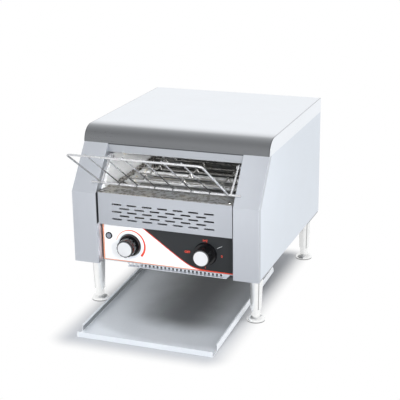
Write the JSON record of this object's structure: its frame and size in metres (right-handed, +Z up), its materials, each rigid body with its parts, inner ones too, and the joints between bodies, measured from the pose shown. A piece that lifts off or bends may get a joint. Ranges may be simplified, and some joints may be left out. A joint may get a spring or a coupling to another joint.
{
  "type": "conveyor toaster",
  "caption": "Countertop conveyor toaster: bread slides down a wire rack onto a chain belt between quartz tubes and drops over a chute to a tray below.",
  "frame": {"origin": "middle of the overall footprint, on the counter", "axes": "+X to the right seen from the front, +Y from the feed side to the rear, +Z up"},
  "size_m": [0.368, 0.572, 0.3518],
  "materials": {
    "brushed_stainless": "brushed",
    "plain_stainless": "2B mill",
    "bright_wire": "bright",
    "steel_parts": "machined",
    "bush_bronze": "machined",
    "motor_casing": "satin",
    "quartz": "clear",
    "white_ceramic": "fired ceramic",
    "black_plastic": "gloss",
    "silver_cap": "spun",
    "printed_film": "satin print",
    "lamp_glass": "clear",
    "polished_legs": "polished",
    "screw_steel": "bright"
  },
  "bodies": {
    "toaster": {"base_plate": "plain_stainless", "cable_gland": "black_plastic", "case_screws": "screw_steel", "control_overlay": "printed_film", "control_panel": "plain_stainless", "conveyor_bars": "bright_wire", "drive_chain": "steel_parts", "feed_shelf": "plain_stainless", "gear_motor": "motor_casing", "guard_strip": "brushed_stainless", "heat_shield": "plain_stainless", "lamp_bezel": "black_plastic", "lamp_lens": "lamp_glass", "left_conveyor_chain": "steel_parts", "left_front_column": "brushed_stainless", "left_inner_wall": "plain_stainless", "left_side_panel": "brushed_stainless", "leg_brackets": "plain_stainless", "leg_front_left": "polished_legs", "leg_front_right": "polished_legs", "leg_rear_left": "polished_legs", "leg_rear_right": "polished_legs", "lintel_panel": "brushed_stainless", "lower_heating_tubes": "quartz", "lower_reflector": "plain_stainless", "rack_pins": "bright_wire", "rear_panel": "brushed_stainless", "right_conveyor_chain": "steel_parts", "right_front_column": "brushed_stainless", "right_inner_wall": "plain_stainless", "right_side_panel": "brushed_stainless", "selector_switch": "black_plastic", "shaft_bushes": "bush_bronze", "shelf_screws": "screw_steel", "speed_controller": "black_plastic", "spindle_nuts": "bush_bronze", "terminal_block": "white_ceramic", "toast_chute": "plain_stainless", "top_cover": "brushed_stainless", "tube_end_caps": "white_ceramic", "upper_heating_tubes": "quartz", "upper_reflector": "plain_stainless", "vent_cover": "brushed_stainless"},
    "speed_control": {"speed_knob": "black_plastic", "speed_knob_cap": "silver_cap", "speed_spindle": "steel_parts"},
    "heat_selector": {"selector_knob": "black_plastic", "selector_knob_cap": "silver_cap", "selector_spindle": "steel_parts"},
    "drive_roller": {"drive_shaft": "steel_parts", "drive_shaft_sprockets": "steel_parts"},
    "idler_roller": {"idler_shaft": "steel_parts", "idler_shaft_sprockets": "steel_parts"},
    "motor_output": {"motor_sprocket": "steel_parts"},
    "tray": {"toast_tray": "brushed_stainless"},
    "rack": {"feed_rack": "bright_wire"},
    "adjuster_front_left": {"foot_front_left": "polished_legs"},
    "adjuster_front_right": {"foot_front_right": "polished_legs"},
    "adjuster_rear_left": {"foot_rear_left": "polished_legs"},
    "adjuster_rear_right": {"foot_rear_right": "polished_legs"}
  },
  "joints": [
    {"name": "speed_turn", "type": "hinge", "parent": "toaster", "child": "speed_control", "pos_m": [-0.0766, -0.146, 0.1348], "axis": [0, 1, 0], "range_deg": [0, 270]},
    {"name": "selector_turn", "type": "hinge", "parent": "toaster", "child": "heat_selector", "pos_m": [0.0748, -0.146, 0.1348], "axis": [0, 1, 0], "range_deg": [0, 270]},
    {"name": "motor_spin", "type": "hinge", "parent": "toaster", "child": "motor_output", "pos_m": [0.14, -0.085, 0.14], "axis": [-1, 0, 0], "continuous": true},
    {"name": "drive_spin", "type": "hinge", "parent": "toaster", "child": "drive_roller", "pos_m": [0, -0.068, 0.214], "axis": [-1, 0, 0], "continuous": true},
    {"name": "idler_spin", "type": "hinge", "parent": "toaster", "child": "idler_roller", "pos_m": [0, 0.10546, 0.214], "axis": [-1, 0, 0], "continuous": true},
    {"name": "tray_slide", "type": "slide", "parent": "toaster", "child": "tray", "axis": [0, -1, 0], "range_m": [0, 0.25]},
    {"name": "rack_lift", "type": "hinge", "parent": "toaster", "child": "rack", "pos_m": [0, -0.09604, 0.293], "axis": [-1, 0, 0], "range_deg": [0, 55]},
    {"name": "foot_front_left_screw", "type": "slide", "parent": "toaster", "child": "adjuster_front_left", "axis": [0, 0, -1], "range_m": [0, 0.02]},
    {"name": "foot_front_right_screw", "type": "slide", "parent": "toaster", "child": "adjuster_front_right", "axis": [0, 0, -1], "range_m": [0, 0.02]},
    {"name": "foot_rear_left_screw", "type": "slide", "parent": "toaster", "child": "adjuster_rear_left", "axis": [0, 0, -1], "range_m": [0, 0.02]},
    {"name": "foot_rear_right_screw", "type": "slide", "parent": "toaster", "child": "adjuster_rear_right", "axis": [0, 0, -1], "range_m": [0, 0.02]}
  ],
  "couplings": [
    {"joint": "drive_spin", "follows": "motor_spin", "ratio": 0.66667},
    {"joint": "idler_spin", "follows": "motor_spin", "ratio": 0.66667}
  ]
}
